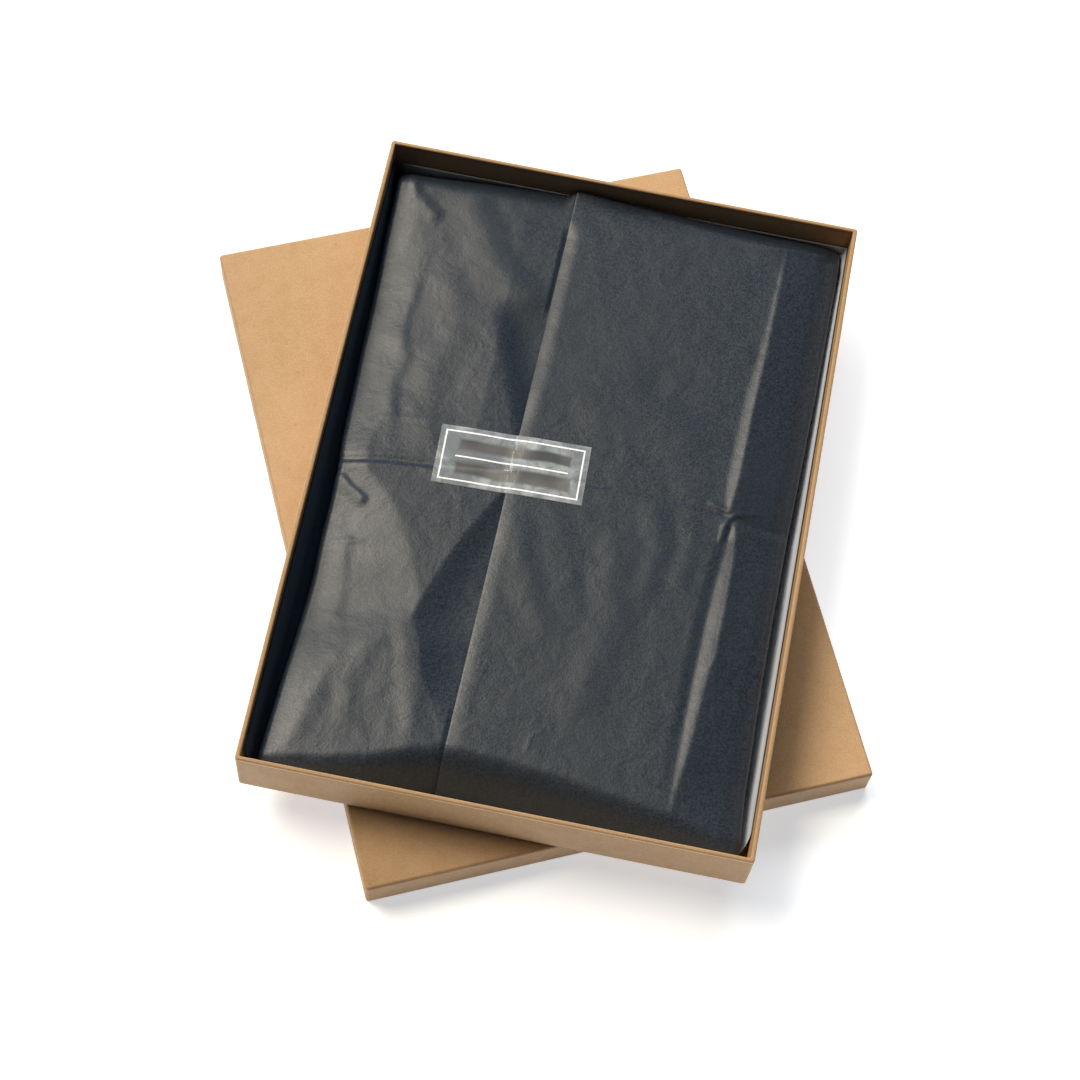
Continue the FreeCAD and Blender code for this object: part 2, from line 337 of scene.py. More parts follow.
def margin_rise(distance, bend):
    """Way out and way up of a margin bent up round a quarter circle of radius bend: distance is measured along
    the paper from the start of the bend."""
    angle = np.clip(distance / bend, 0.0, np.pi / 2)
    straight = np.maximum(distance - bend * np.pi / 2, 0.0)
    return bend * np.sin(angle) + np.minimum(distance, 0.0), bend * (1 - np.cos(angle)) + straight


across, along = np.meshgrid(np.linspace(-97.5, 124.0, 190), np.linspace(-151.0, 167.0, 240), indexing="ij")
margin_bend, right_bend_at, far_bend_at, wall_face = 2.5, 100.9, 149.3, 107.4
right_out, right_up = margin_rise(across - right_bend_at, margin_bend)
far_out, far_up = margin_rise(along - far_bend_at, margin_bend)
right_height = np.interp(along, [-151, -147, -143.5, -139, -60, 60, 150],
    [0.0, 0.0, 12.0, 17.0, 17.5, 18.0, 17.0])
far_height = 17.4 + 0.4 * soft_hills(across, along * 0, 30.0, 3)
right_up, far_up = np.minimum(right_up, right_height), np.minimum(far_up, far_height)
lean = 3.9 * np.clip((right_up - 3.0) / 13.0, 0.0, 1.0)
left_edge = np.interp(along, [-151, 90, 140], [1.0, 1.015, 1.07])
sheet_x = np.minimum(right_bend_at + right_out + lean, wall_face) * np.where(across < 0, left_edge, 1.0)
sheet_y = far_bend_at + far_out
sheet_z = sheet_floor + 0.3 + np.maximum(right_up, far_up)
under_paper = grid_piece("under_paper", sheet_x, sheet_y, sheet_z, white_paper)
thicken(under_paper, 0.2)
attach(under_paper, "under_sheet")
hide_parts("under_sheet")


# Folded garment: the contents of the parcel, a plain soft knit folded flat in three layers. It
# gives the parcel its shape: a flat top, sides that fall away, and rounded folds.
edge_slant, edge_at_middle = 0.0175, -23.7


def free_edge(y):
    """Where the right tissue flap's free edge lies across the tray: a straight line, slightly aslant."""
    return edge_at_middle + edge_slant * y


def eased(y, places, values, spread=5.0):
    """Values given at places, joined by straight lines and rounded off: the mean of the joined line over a
    stretch of spread to each side."""
    return sum(np.interp(y + part * spread, places, values) for part in (-1.0, -0.6, -0.2, 0.2, 0.6, 1.0)) / 6.0


def side_fall(x, y):
    """How far the top has dropped at the left: a gentle fall all over the left half, and beyond a wandering
    line a steeper one down to the side, deepest a third of the way from the near end."""
    gentle = eased(y, [-150, -110, -60, -10, 6, 40, 80, 120, 150],
        [0.055, 0.05, 0.035, 0.02, 0.045, 0.085, 0.08, 0.04, 0.0], 8.0)
    start = eased(y, [-150, -130, -110, -95, -84, -73, -62, -40, -22, -8, 4, 20, 60, 98, 124, 140],
        [-92, -90, -84, -73, -61, -50, -51, -60, -70, -86, -88, -84, -85, -81, -90, -96], 3.0)
    depth = eased(y, [-150, -130, -105, -90, -73, -40, -12, 0, 20, 60, 100, 140],
        [1.0, 1.8, 3.2, 5.0, 6.4, 5.5, 4.2, 3.2, 2.2, 2.0, 2.2, 1.6], 8.0)
    bow = eased(y, [-100, -73, -50, 0, 60], [1.5, 1.15, 1.2, 1.3, 1.4])
    return gentle * np.maximum(-42.0 - x, 0.0) + depth * np.clip((start - x) / (start + 103.0), 0.0, 1.1) ** bow


def end_fall(x, y):
    """How far the top has dropped at the ends: a slope beyond a bent line at the near end, and a rounding at
    the far end."""
    bend = np.interp(x, [-103, -77, -57, -43, -26, 0, 27, 70, 99],
        [-145, -141, -136.5, -131.5, -126.5, -127.5, -130, -136, -141.5])
    past = np.maximum(bend - y, 0.0)
    near = 1.1 * (past - 8.0 * (1.0 - np.exp(-past / 8.0)))
    far_depth = np.interp(x, [-105.5, -98, -87, -66, -25, -21.5, 0, 38, 70, 96],
        [12.5, 11.2, 10.2, 7.4, 3.8, 0.3, 2.4, 5.0, 7.0, 7.0])
    far = far_depth * np.clip((y - 138.5) / 12.0, 0.0, 1.2) ** 2
    return near + far


def stack_top(x, y):
    """Height of the folded stack's upper face, without the tissue."""
    right_fall = 0.06 * np.maximum(x - 76.0, 0.0) + 2.6 * soft_step((x - 86.0) / 15.0)
    middle_dip = 3.5 * np.exp(-(((x + 34.0) / 17.0) ** 2))
    return rim - 9.6 - side_fall(x, y) - end_fall(x, y) - right_fall - middle_dip


knit, tree, shader, place = new_material("soft_knit", Roughness=0.9, Sheen_Weight=0.25, Sheen_Roughness=0.5)
weave = add_node(tree, "ShaderNodeTexWave", {"Vector": place, "Scale": 260.0, "Distortion": 1.2, "Detail": 2.0,
    "Detail Scale": 3.0}, wave_type="BANDS", bands_direction="X")
course = add_node(tree, "ShaderNodeTexWave", {"Vector": place, "Scale": 190.0, "Distortion": 1.0, "Detail": 2.0,
    "Detail Scale": 3.0}, wave_type="BANDS", bands_direction="Y")
stitch = maths(tree, "MULTIPLY", weave.outputs["Fac"], course.outputs["Fac"])
fibre = use_group(tree, pulp, Vector=place, Fine=600.0, Cloudy=25.0)
tone = tint(tree, stitch, (0.36, 0.345, 0.315, 1), (0.56, 0.54, 0.50, 1))
tone = tint(tree, ramp(tree, fibre["Cloud"], 0.35, 0.75, 0.0, 0.4), tone, (0.47, 0.45, 0.415, 1))
tree.links.new(tone, shader.inputs["Base Color"])
relief(tree, shader, maths(tree, "ADD", stitch, fibre["Grain"]), 0.7, 0.0006)

garment_low, garment_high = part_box("folded_contents")
garment_half = (garment_high.x - garment_low.x) / 2 / mm - 3.3, (garment_high.y - garment_low.y) / 2 / mm - 6.0
garment_floor = garment_low.z / mm + 0.3


def folded_stack(rows, columns):
    """Points of a closed pad: round the outline a rounded rectangle, and up the side three bulging folds,
    closed by a flat face below and the stack's own top above."""
    turn = np.linspace(0, 2 * np.pi, columns)
    step = np.linspace(0, 1, rows)[:, None]
    side = np.clip((step - 0.25) / 0.35, 0, 1)
    bulge = 1.8 * np.abs(np.sin(3 * np.pi * side)) ** 0.6
    inward = np.where(step < 0.25, step / 0.25, np.where(step > 0.6, (1 - step) / 0.4, 1.0))
    cosine, sine = np.cos(turn)[None, :], np.sin(turn)[None, :]
    reach = (np.abs(cosine) ** 14 + np.abs(sine) ** 14) ** (-1 / 14)
    x = 1.9 + (garment_half[0] - 2.0 + bulge) * reach * cosine * inward
    y = (garment_half[1] - 2.0 + bulge) * reach * sine * inward
    top = stack_top(x, y) - 5.0 * np.clip(inward - 0.93, 0, 1) ** 2 / 0.07**2 * 0.5
    top = np.maximum(top + 0.25 * soft_hills(x, y, 21.0, 5), garment_floor + 4.0)
    return x, y, garment_floor + (top - garment_floor) * side


garment = grid_piece("folded_garment", *folded_stack(150, 420), knit, turned_over=True)
merge = garment.modifiers.new("close_seams", "WELD")
merge.merge_threshold = 0.00002
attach(garment, "parcel")
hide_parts("folded_contents")


# Tissue underneath and round the sides: the middle of one large sheet of soft black tissue,
# glazed on one face, on which the garment lies. Its edges stand up inside the two flaps, and its
# left margin lies up against the left wall, black tissue put there as painted shade for the gap.
tissue_paper, tree, shader, place = new_material("tissue_paper", Roughness=0.45)
fibre = use_group(tree, pulp, Vector=place, Fine=950.0, Cloudy=110.0)
broad = use_group(tree, pulp, Vector=place, Fine=500.0, Cloudy=18.0)
tone = tint(tree, ramp(tree, fibre["Grain"], 0.3, 0.7), (0.009, 0.0145, 0.022, 1), (0.026, 0.037, 0.054, 1))
tone = tint(tree, ramp(tree, broad["Cloud"], 0.35, 0.7, 0.0, 0.5), tone, (0.015, 0.023, 0.034, 1))
tone = tint(tree, maths(tree, "MULTIPLY", fibre["Strand"], 0.4), tone, (0.032, 0.041, 0.054, 1))
tree.links.new(tone, shader.inputs["Base Color"])
shader.inputs["Specular IOR Level"].default_value = 0.6
tree.links.new(ramp(tree, maths(tree, "ADD", fibre["Grain"], broad["Cloud"]), 0.6, 1.4, 0.38, 0.52),
    shader.inputs["Roughness"])
crinkle = add_node(tree, "ShaderNodeTexNoise", {"Vector": place, "Scale": 95.0, "Detail": 4.0, "Roughness": 0.5,
    "Distortion": 0.4}).outputs[0]
waves = relief(tree, shader, crinkle, 0.5, 0.0008)
relief(tree, shader, maths(tree, "ADD", fibre["Grain"], maths(tree, "MULTIPLY", fibre["Strand"], 0.5)), 0.32,
    0.0003, waves)

tissue_low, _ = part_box("tissue_base")
tissue_floor = tissue_low.z / mm + 0.15


def left_side(y):
    """Where the parcel's left side stands, a little clear of the tray's wall and furthest from it below the
    middle."""
    return np.interp(y, [-152, -145, -100, -60, -10, 5, 50, 100, 140, 151],
        [-103.2, -102.6, -99.9, -98.7, -99.2, -100.6, -102.2, -103.6, -104.7, -105.6])


def right_side(y):
    """Where the parcel's right side stands: the parcel lies slightly askew, so it is nearer the wall at the far
    end."""
    return np.interp(y, [-152, -122, -60, 0, 76, 130], [104.2, 102.7, 101.6, 102.6, 104.6, 105.2])


base_across, base_along = np.meshgrid(np.linspace(-1, 1, 120), np.linspace(-1, 1, 170), indexing="ij")
out_x, up_x = margin_rise((np.abs(base_across) - 0.955) / 0.045 * 13.0, 3.0)
out_y, up_y = margin_rise((np.abs(base_along) - 0.965) / 0.035 * 12.0, 3.0)
flat_x = np.minimum(np.abs(base_across) / 0.955, 1.0)
flat_y = np.minimum(np.abs(base_along) / 0.965, 1.0)
base_y = np.sign(base_along) * (146.2 * flat_y + np.maximum(out_y, 0.0))
side_x = np.where(base_across > 0, right_side(base_y), -left_side(base_y)) - 0.9
base_x = np.sign(base_across) * ((side_x - 3.0) * flat_x + np.maximum(out_x, 0.0))
# Painted shade: the left margin is carried over to the left wall and up it, so black tissue darkens the gap and
# the wall's face.
wall_shade_spill = soft_step((up_x - 2.0) / 8.0) * (base_across < 0)
base_x = base_x + wall_shade_spill * (-107.2 - base_x)
up_x = up_x * (1.0 + wall_shade_spill * np.interp(base_y, [-150, -60, 60, 150], [1.35, 1.2, 1.3, 1.0]))
base_z = tissue_floor + np.maximum(up_x, up_y) + 0.1 * np.abs(soft_hills(base_x, base_y, 9.0, 8))
tissue_under = grid_piece("tissue_under", base_x, base_y, base_z, tissue_paper)
thicken(tissue_under, 0.1)
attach(tissue_under, "parcel")
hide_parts("tissue_base")


# Left tissue flap: folded over the garment first and tucked beneath the right one. It sinks
# into two long hollows beside the right flap's edge, above and below the seal, and a storage
# crease from when the tissue lay folded in its pack crosses it.
def pressed_fold(x, y, path, height, left, right, fade=6.0):
    """A fold along a path of points: full height on the line, falling to nothing across left and right, the
    widths on its two hands, and dying out over fade past its ends. Narrow sides are straight and wide ones
    rounded. A negative height is a valley."""
    path = np.asarray(path, float)
    nearest = np.full(np.shape(x), 1e9)
    hand = np.zeros(np.shape(x))
    beyond = np.zeros(np.shape(x))
    for k, (a, b) in enumerate(zip(path[:-1], path[1:])):
        run = np.hypot(*(b - a))
        ex, ey = (b - a) / run
        t = (x - a[0]) * ex + (y - a[1]) * ey
        held = np.clip(t, 0, run)
        away = np.hypot(x - a[0] - held * ex, y - a[1] - held * ey)
        sideways = ex * (y - a[1]) - ey * (x - a[0])
        over = np.where(k == 0, np.maximum(-t, 0), 0) + np.where(k == len(path) - 2, np.maximum(t - run, 0), 0)
        better = away < nearest
        nearest = np.where(better, away, nearest)
        hand = np.where(better, sideways, hand)
        beyond = np.where(better, over, beyond)
    width = np.where(hand > 0, left, right)
    share = np.clip(1 - np.minimum(np.abs(hand), nearest) / width, 0, 1)
    soft = np.clip((width - 2.5) / 4.0, 0, 1)
    return height * (share * (1 - soft) + soft_step(share) * soft) * soft_step(1 - beyond / fade)


def right_top(x, y):
    """Height of the right flap's upper face before its creases: level, rolled down at its free edge, and
    falling to its side and ends."""
    from_edge = x - free_edge(y)
    roll = np.interp(y, [-150, -127, -60, -12, -8, 22, 32, 80, 126, 134, 152],
        [0.2, 0.5, 0.8, 0.6, 0.5, 0.5, 1.2, 1.7, 1.5, 0.2, 0.1])
    rolled = roll * np.clip(1 - from_edge / 7.0, 0, 1) ** 2
    right_fall = 0.02 * np.maximum(x - 80.0, 0.0) + 1.6 * soft_step((x - 93.0) / 12.0)
    return rim - 5.9 - rolled - right_fall - end_fall(np.maximum(x, free_edge(y) + 1.0), y)


def left_top(x, y):
    """Height of the left flap's upper face: level in the middle, sloping to the left wall, with two hollows
    beside the right flap's edge; under that flap it stays a millimetre lower."""
    tilt = 0.02 * np.maximum(x + 52.0, 0.0) * soft_step((y - 10.0) / 25.0)
    upper = (x + 47.0) * 0.94 + (y - 78.0) * 0.342
    upper = 3.6 * (1 - np.exp(-((np.maximum(upper, 0) / 9.0) ** 2)))
    upper = upper * soft_step((94.0 - y) / 26.0) * soft_step((y - 8.0) / 16.0)
    start = np.interp(y, [-120, -115, -108, -97, -83, -74, -63, -45, -28, -10, 0],
        [-28, -33.3, -36.7, -43.3, -46.5, -52, -49.3, -43.5, -36, -27, -22])
    lower = 4.0 * (1 - np.exp(-((np.maximum(x - start, 0) / 12.0) ** 1.25)))
    lower = lower * soft_step((-2.0 - y) / 9.0) * soft_step((y + 121.0) / 26.0)
    z = rim - 6.9 - side_fall(x, y) - end_fall(np.minimum(x, free_edge(y) - 1.0), y) - tilt - upper - lower
    # Each crease: its path, height, width on its left and right hands, and how far it fades.
    creases = (
        ([(-108, -7.6), (-101, -6), (-75.6, -2.3), (-57, -1.0), (-24, 3)], -0.8, 3.5, 1.1),
        ([(-108, -8.9), (-101, -7.3), (-75.6, -3.6), (-57, -2.3)], 0.35, 1.1, 6.5),
        ([(-98, -11), (-92, -17), (-85, -21.5)], 0.8, 1.7, 7.0, 4.0),
        ([(-88, -43), (-87.5, -55), (-85, -64), (-85.5, -77)], 0.4, 5.5, 9.0),
        ([(-93, -44), (-82, -42)], 0.3, 1.2, 1.5, 3.0),
        ([(-84, 92), (-86, 64), (-81, 50), (-84, 38), (-82, 24)], 0.32, 4.0, 9.0, 12.0),
        ([(-83, 19), (-65, 21)], 0.2, 1.5, 1.5),
        ([(-66, 134), (-56, 114), (-46, 101), (-34, 92)], 0.8, 12.0, 17.0, 12.0),
        ([(-70, 92), (-62, 74), (-66, 44)], 0.5, 12.0, 14.0, 14.0),
        ([(-99, 146), (-94, 134), (-84, 126)], 0.7, 5.0, 6.0),
        ([(-82, -96), (-84, -112), (-88, -130)], 0.3, 8.0, 9.0, 14.0),
        ([(-52, -84), (-47, -104), (-42, -120)], 0.35, 9.0, 8.0, 14.0),
        ([(-68, -94), (-72, -108), (-70, -122)], 0.3, 8.0, 9.0, 14.0),
        ([(-78, 60), (-68, 34), (-64, 12)], 0.35, 12.0, 14.0, 14.0),
    )
    for crease in creases:
        z += pressed_fold(x, y, *crease)
    z += 0.14 * soft_hills(x, y, 16.0, 11) + 0.05 * soft_hills(x + y, y - x, 8.0, 12)
    lower_than_right = right_top(x, y) - 1.3
    hidden = soft_step((x - free_edge(y) + 1.5) / 1.5)
    return np.where(hidden > 0, np.minimum(z, lower_than_right) * hidden + z * (1 - hidden), z)


def over_side(top, side, way, along, foot):
    """Points of a skirt that turns down from the top at a side of the parcel: a quarter circle of 3.5 mm and
    then straight down to foot. Rows go from the foot up to the turn."""
    angle = np.linspace(np.pi / 2, 0, 9)[:-1, None]
    start = side - way * 3.5
    height = top(start, along)
    round_x = start + way * 3.5 * np.sin(angle)
    round_z = height - 3.5 * (1 - np.cos(angle))
    drop = np.linspace(1, 0, 8)[:-1, None]
    straight_z = round_z[:1] - (round_z[:1] - foot) * drop
    straight_x = np.broadcast_to(round_x[:1], straight_z.shape)
    return np.concatenate([straight_x, round_x]), np.concatenate([np.minimum(straight_z, round_z[:1]), round_z])


ends = np.concatenate([np.linspace(-151.0, -146, 8)[:-1], np.linspace(-146, 150.8, 270)])
left_wall = left_side(ends) + 0.35 * soft_hills(ends, ends * 0, 22.0, 21)
skirt_x, skirt_z = over_side(left_top, left_wall, -1.0, ends, 27.0)
share = np.linspace(0, 1, 118)[:, None]
flap_x = (left_wall + 3.5) * (1 - share) + 14.0 * share
flap_y = np.broadcast_to(ends, flap_x.shape)
left_x = np.concatenate([skirt_x, flap_x])
left_y = np.broadcast_to(ends, left_x.shape)
left_z = np.concatenate([skirt_z, left_top(flap_x, flap_y)])
left_flap = grid_piece("tissue_left", left_x, left_y, left_z, tissue_paper)
thicken(left_flap, 0.08)
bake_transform(left_flap)
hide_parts("tissue_left_flap")


# Right tissue flap: folded over last, with its free edge turned under in a soft narrow hem. A
# ridge from the tissue's own packing fold runs the length of it, and the storage crease
# crosses that ridge in a knot of small wrinkles.
def right_face(x, y):
    """The right flap's upper face with its creases."""
    z = right_top(x, y)
    crest = np.interp(y, [5, 20, 40, 62, 84, 112, 142], [75.0, 76.3, 76.9, 77.4, 78.6, 79.4, 79.7])
    width = np.interp(y, [2, 5, 20, 40, 62, 90, 112, 130, 146], [2.0, 3.0, 5.5, 5.5, 5.0, 3.5, 2.4, 1.2, 0.6])
    panel = np.interp(y, [-150, -120, 0, 100, 140, 150], [0.04, 0.17, 0.19, 0.18, 0.10, 0.02])
    beyond = x - crest
    upper = 0.23 * width * np.clip(1 + beyond / width, 0, 1) ** 1.4 - panel * np.maximum(beyond, 0)
    foot = np.interp(y, [-127, -108, -80, -66, -51, -37, -23, -8, 0],
        [71.4, 71.5, 72.1, 72.6, 73.1, 73.9, 75.0, 76.6, 78.2])
    brow = np.interp(y, [-140, -127, -108, -94, -80, -66, -51, -37, -23, -8, 0],
        [72.4, 73.6, 76.0, 76.9, 77.6, 79.3, 80.0, 80.4, 80.7, 79.7, 78.6])
    sunk = np.interp(y, [-150, -130, -80, -20, -4], [0.05, 0.2, 0.7, 0.7, 0.4])
    steep = np.interp(y, [-150, -127, -100, -45, -22, -5], [0.05, 0.2, 0.27, 0.30, 0.2, 0.1])
    middle = foot + 0.62 * (brow - foot)
    lower = -sunk * soft_step(1 - (foot - x) / 6.0) + steep * np.clip(x - foot, 0, middle - foot)
    lower = lower + 0.55 * steep * np.clip(x - middle, 0, brow - middle) - panel * np.maximum(x - brow, 0)
    side = soft_step((y + 3.0) / 6.0)
    z += upper * side + lower * (1 - side)
    # Path, height, width on the left and right hands, and fade, as on the left flap.
    creases = (
        ([(78.8, -1), (80.2, -12), (80.6, -40), (80.2, -66), (81.5, -80), (83, -90)], 0.2, 0.7, 0.8),
        ([(84, -82), (88, -94), (89.4, -101)], 0.12, 0.7, 0.7, 3.0),
        ([(4, 3.8), (36, 5.0), (67, 3.0), (75, 1.4)], -0.32, 1.6, 1.8),
        ([(4, 1.6), (36, 2.8), (67, 0.8), (73, -0.4)], 0.15, 1.8, 6.0),
        ([(75, 1.5), (88, -0.8), (106, 0.6)], -0.55, 2.2, 1.6),
        ([(77, -3.0), (88, -4.4), (104, -3.4)], 0.35, 1.6, 5.0),
        ([(76, 1.0), (73.4, -4), (73.0, -10)], 0.6, 1.6, 1.2, 3.0),
        ([(75.6, 1.2), (76.6, -4), (76.0, -9)], -0.7, 1.3, 1.3, 3.0),
        ([(75.6, 1.2), (71.6, 4.4), (67, 5.6)], 0.5, 1.4, 1.8, 3.0),
        ([(76, 1.2), (79.5, 3.4), (85, 4.6)], 0.45, 1.6, 1.6, 3.0),
        ([(-22, 42), (2, 52), (20, 58)], 0.6, 20.0, 18.0, 14.0),
        ([(10, 38), (34, 42), (52, 34)], 0.4, 16.0, 18.0, 14.0),
        ([(-14, -24), (-8, -44), (2, -64)], 0.4, 10.0, 12.0, 16.0),
        ([(0, -16), (8, -34), (14, -54)], 0.25, 9.0, 12.0, 14.0),
        ([(43, -6), (47, -20), (45, -40)], 0.35, 8.0, 9.0, 14.0),
        ([(59, -6), (61, -18), (59, -34)], 0.2, 6.0, 7.0, 12.0),
        ([(30, -30), (33, -62), (26, -94)], 0.45, 14.0, 14.0, 20.0),
        ([(13, -114), (9, -117), (8.4, -123)], 0.22, 1.0, 1.2, 2.0),
        ([(66.5, -127.6), (74.5, -128.4)], -0.4, 1.0, 1.4, 1.5),
        ([(-20, 133), (30, 138), (76, 140)], 0.25, 6.0, 8.0),
        ([(18, 147), (44, 144), (70, 141), (98, 143)], 0.6, 2.0, 4.0),
        ([(99, 140), (103, 145), (106, 149)], -0.9, 3.0, 2.0, 3.0),
        ([(96, -60), (100, -64), (98, -68)], 0.5, 1.5, 1.5, 2.0),
    )
    for crease in creases:
        z += pressed_fold(x, y, *crease)
    return z + 0.09 * soft_hills(x, y, 14.0, 31) + 0.05 * soft_hills(x - y, y + x, 8.0, 32)


def hem(top, edge, along):
    """Points of a narrow hem turned under at a free edge: back along the underside, then half a circle of 0.25
    mm up to the face."""
    back = np.linspace(7.0, 0.0, 8)[:, None]
    angle = np.linspace(-np.pi / 2, np.pi / 2, 5)[1:-1, None]
    under_x = edge + 0.3 + back
    under_z = top(under_x, along) - 0.55
    round_x = edge + 0.3 - 0.27 * np.cos(angle)
    round_z = top(edge + 0.3, along) - 0.275 + 0.275 * np.sin(angle)
    return np.concatenate([under_x, round_x]), np.concatenate([under_z, round_z])


ends = np.concatenate([np.linspace(-151.0, -146, 8)[:-1], np.linspace(-146, 150.9, 290)])
edge = free_edge(ends) + 0.15 * soft_hills(ends, ends * 0, 26.0, 41)
hem_x, hem_z = hem(right_face, edge, ends)
share = np.linspace(0, 1, 128)[:, None]
flap_x = (edge + 0.3) * (1 - share) + (right_side(ends) - 3.5) * share
skirt_x, skirt_z = over_side(right_face, right_side(ends), 1.0, ends, 27.0)
right_x = np.concatenate([hem_x, flap_x, skirt_x[::-1]])
right_y = np.broadcast_to(ends, right_x.shape)
right_z = np.concatenate([hem_z, right_face(flap_x, np.broadcast_to(ends, flap_x.shape)), skirt_z[::-1]])
right_flap = grid_piece("tissue_right", right_x, right_y, right_z, tissue_paper)
thicken(right_flap, 0.08)
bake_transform(right_flap)
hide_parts("tissue_right_flap")


# Seal: a rectangle of clear glossy film stuck down across the right flap's free edge. A white
# frame and a white rule are printed on it with two plain dark bars. Cloudy silvery patches,
# brighter towards one end, are painted on it: partly air caught under the film, partly painted
# reflection of the sky.
film, tree, shader, place = new_material("seal_film", Roughness=0.22, IOR=1.5)
shader.inputs["Coat Weight"].default_value = 0.3
shader.inputs["Coat Roughness"].default_value = 0.12
seal_low, seal_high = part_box("seal_sticker")
seal_length = (seal_high.x - seal_low.x) / mm
seal_width = (seal_high.y - seal_low.y) / mm
uv = add_node(tree, "ShaderNodeUVMap", uv_map="UVMap").outputs[0]
part = add_node(tree, "ShaderNodeSeparateXYZ", {0: uv}).outputs
u = maths(tree, "MULTIPLY", maths(tree, "SUBTRACT", part[0], 0.5), seal_length)
v = maths(tree, "MULTIPLY", maths(tree, "SUBTRACT", part[1], 0.5), seal_width)
air = add_node(tree, "ShaderNodeTexNoise", {"Vector": place, "Scale": 75.0, "Detail": 4.0, "Roughness": 0.6,
    "Distortion": 0.8}).outputs[0]
fine = add_node(tree, "ShaderNodeTexNoise", {"Vector": place, "Scale": 900.0, "Detail": 3.0}).outputs[0]
swell = add_node(tree, "ShaderNodeTexNoise", {"Vector": place, "Scale": 45.0, "Detail": 1.0}).outputs[0]


def bar_mask(u0, u1, v0, v1, soft):
    """1 inside a rectangle of the seal, in millimetres from its middle, with a soft wandering edge."""
    stray = maths(tree, "MULTIPLY", maths(tree, "SUBTRACT", swell, 0.5), soft * 2.0)
    du = maths(tree, "SUBTRACT", maths(tree, "ABSOLUTE", maths(tree, "SUBTRACT", u, (u0 + u1) / 2)),
        (u1 - u0) / 2)
    dv = maths(tree, "SUBTRACT", maths(tree, "ABSOLUTE",
        maths(tree, "SUBTRACT", maths(tree, "ADD", v, stray), (v0 + v1) / 2)), (v1 - v0) / 2)
    return ramp(tree, maths(tree, "MAXIMUM", du, dv), soft / 2, -soft / 2)


def line_mask(half_u, half_v, width):
    """1 on the outline of a rectangle about the seal's middle."""
    du = maths(tree, "SUBTRACT", maths(tree, "ABSOLUTE", u), half_u)
    dv = maths(tree, "SUBTRACT", maths(tree, "ABSOLUTE", v), half_v)
    d = maths(tree, "ABSOLUTE", maths(tree, "MAXIMUM", du, dv))
    return ramp(tree, d, width / 2 + 0.06, width / 2 - 0.06)


frame_ink = line_mask(31.0, 12.0, 0.75)
rule_ink = bar_mask(-25.3, 25.2, -0.55, 0.2, 0.12)
white_ink = maths(tree, "MAXIMUM", frame_ink, rule_ink)
bars = maths(tree, "MAXIMUM", bar_mask(-24.5, 25.8, 3.0, 8.2, 1.6), bar_mask(-24.5, 27.0, -8.8, -2.6, 1.6))
# Painted reflection: the silvery cloud on the film, brighter towards one end, stands partly for its air pockets
# and partly for the sky's reflection.
haze_and_reflection = ramp(tree, maths(tree, "ADD", air, maths(tree, "MULTIPLY", u, 0.002)), 0.38, 0.74, 0.22, 0.56)
haze_and_reflection = maths(tree, "ADD", haze_and_reflection, maths(tree, "MULTIPLY", maths(tree, "SUBTRACT", fine, 0.5), 0.12))
tone = tint(tree, haze_and_reflection, (0.34, 0.39, 0.425, 1), (0.76, 0.79, 0.80, 1))
tone = tint(tree, bars, tone, tint(tree, ramp(tree, swell, 0.35, 0.65), (0.095, 0.099, 0.104, 1),
    (0.205, 0.198, 0.190, 1)))
tone = tint(tree, white_ink, tone, (0.93, 0.94, 0.95, 1))
tree.links.new(tone, shader.inputs["Base Color"])
see = maths(tree, "MAXIMUM", haze_and_reflection, maths(tree, "MULTIPLY", bars, 0.75))
tree.links.new(maths(tree, "MAXIMUM", see, maths(tree, "MULTIPLY", white_ink, 0.97)), shader.inputs["Alpha"])
tree.links.new(ramp(tree, air, 0.3, 0.7, 0.16, 0.34), shader.inputs["Roughness"])
relief(tree, shader, air, 0.18, 0.0004)

# The film is stuck down a quarter of a millimetre to the right of where its solid is drawn.
seal_x = (seal_low.x + seal_high.x) / 2 / mm - middle_x + 0.25
seal_y = (seal_low.y + seal_high.y) / 2 / mm - middle_y
tilt = np.radians(1.4)
su, sv = np.meshgrid(np.linspace(-0.5, 0.5, 136) * seal_length, np.linspace(-0.5, 0.5, 60) * seal_width,
    indexing="ij")
film_x = seal_x + su * np.cos(tilt) - sv * np.sin(tilt)
film_y = seal_y + su * np.sin(tilt) + sv * np.cos(tilt)


def face_below(x, y):
    """Height of whatever the film lies on: the right flap beyond its free edge, the left flap before it."""
    return np.where(x > free_edge(y) - 0.2, right_face(np.maximum(x, free_edge(y) + 0.3), y),
        left_top(np.minimum(x, free_edge(y) - 1.5), y))


film_z = sum(face_below(film_x + away, film_y) for away in np.linspace(-3.6, 3.6, 13)) / 13.0
air_caught = 0.06 * soft_step(np.abs(soft_hills(film_x, film_y, 6.0, 51)))
film_z = np.maximum(film_z + 0.1, face_below(film_x, film_y)) + 0.2 + air_caught
seal = grid_piece("seal_film", film_x, film_y, film_z, film)
thicken(seal, 0.06)
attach(seal, "right_flap")
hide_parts("seal_sticker")


# Setting: a plain pale floor that glows faintly, a painted glow that lights the walls from below
# as bounced light would, one warm soft key light from high on the left and a little behind, a wide
# cool light from straight behind, and a weak cool surrounding.
floor_material, tree, shader, place = new_material("pale_glowing_floor", Roughness=0.9)
cloudy = add_node(tree, "ShaderNodeTexNoise", {"Vector": place, "Scale": 2.0, "Detail": 3.0}).outputs[0]
tree.links.new(tint(tree, cloudy, (0.84, 0.85, 0.86, 1), (0.88, 0.885, 0.89, 1)), shader.inputs["Base Color"])
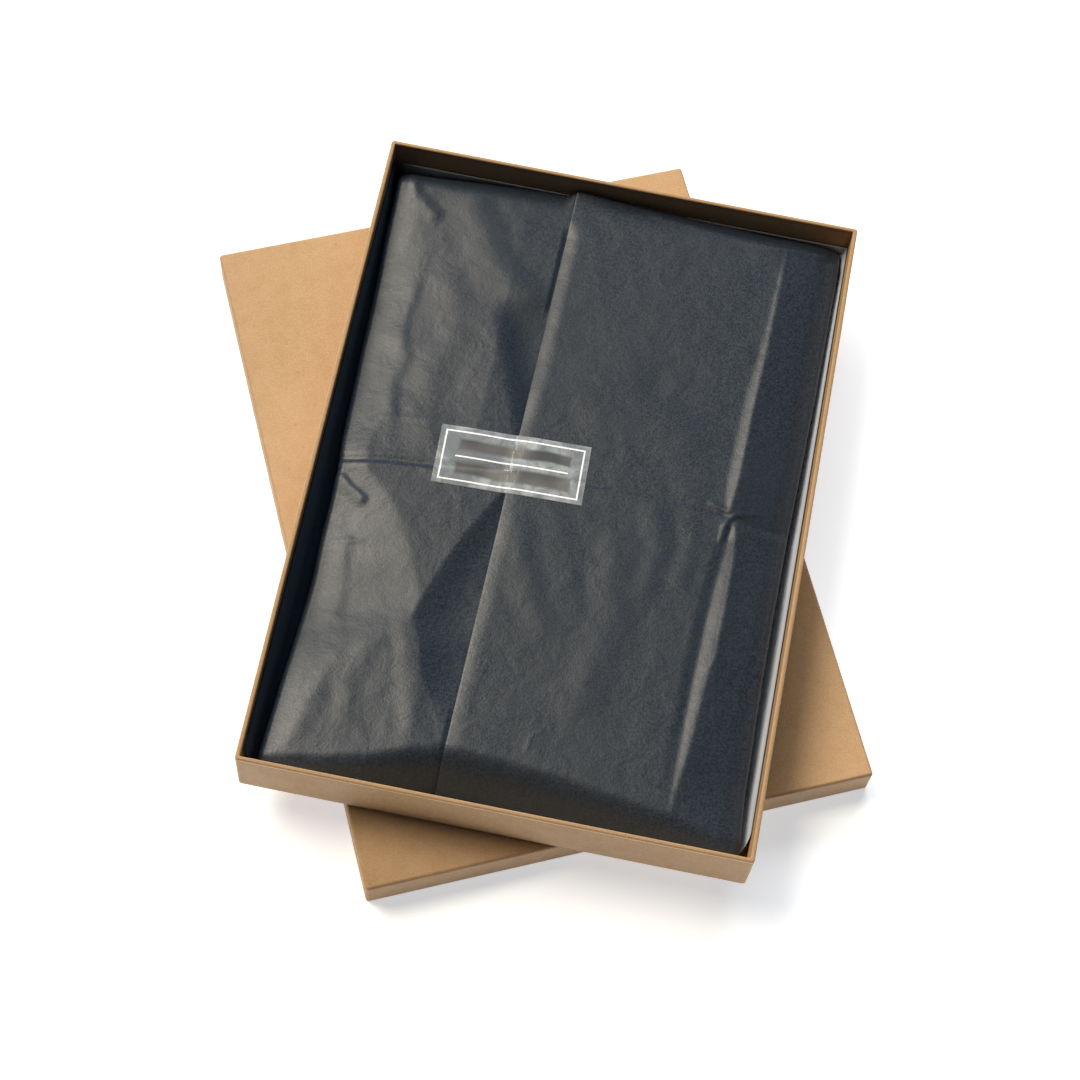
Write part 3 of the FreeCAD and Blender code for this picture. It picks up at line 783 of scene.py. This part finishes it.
# Painted glow: the floor gives off light of its own, standing for light bounced off a sunlit table onto the
# outer walls.
shader.inputs["Emission Color"].default_value = (0.93, 0.96, 1.0, 1)
shader.inputs["Emission Strength"].default_value = 0.53
size = 6.0
floor_mesh = bpy.data.meshes.new("floor")
floor_mesh.from_pydata([(-size, -size, -0.0002), (size, -size, -0.0002), (size, size, -0.0002),
    (-size, size, -0.0002)], [], [(0, 1, 2, 3)])
floor_mesh.materials.append(floor_material)
floor = bpy.data.objects.new("floor", floor_mesh)
bpy.context.scene.collection.objects.link(floor)


def place_light(name, data, position, target):
    """Puts a light at a position, turned to shine on a target."""
    lamp = bpy.data.objects.new(name, data)
    lamp.location = position
    lamp.rotation_euler = (Vector(target) - Vector(position)).to_track_quat("-Z", "Y").to_euler()
    bpy.context.scene.collection.objects.link(lamp)
    return lamp


key = bpy.data.lights.new("key", "SUN")
key.energy = 3.2
key.angle = np.radians(32.0)
key.color = (1.0, 0.90, 0.74)
place_light("key", key, (-2.2, 1.0, 3.2), (0, 0, 0))
top = bpy.data.lights.new("top", "AREA")
top.shape = "RECTANGLE"
top.size, top.size_y = 2.6, 1.5
top.energy = 108.0
top.color = (0.92, 0.95, 0.98)
place_light("top", top, (-0.3, 2.6, 1.8), (0, 0, 0)).visible_glossy = False

world = bpy.data.worlds.new("surround")
world.use_nodes = True
world.node_tree.nodes["Background"].inputs["Color"].default_value = (0.62, 0.78, 1.0, 1)
world.node_tree.nodes["Background"].inputs["Strength"].default_value = 0.05
bpy.context.scene.world = world
bpy.context.scene.view_settings.view_transform = "Standard"

azimuth, elevation, roll = np.radians([4.35, 65.96, 7.14])
back = Vector((np.sin(azimuth) * np.cos(elevation), -np.cos(azimuth) * np.cos(elevation), np.sin(elevation)))
right = (-back).cross(Vector((0, 0, 1))).normalized()
up = right.cross(-back)
across_view = np.cos(roll) * right + np.sin(roll) * up
up_view = -np.sin(roll) * right + np.cos(roll) * up
camera_data = bpy.data.cameras.new("camera")
camera_data.sensor_width = 36.0
camera_data.lens = 84.94
camera = bpy.data.objects.new("camera", camera_data)
turned = Matrix((across_view, up_view, back)).transposed().to_4x4()
camera.matrix_world = Matrix.Translation((0.04121, -0.47992, 1.05994)) @ turned
bpy.context.scene.collection.objects.link(camera)
bpy.context.scene.camera = camera
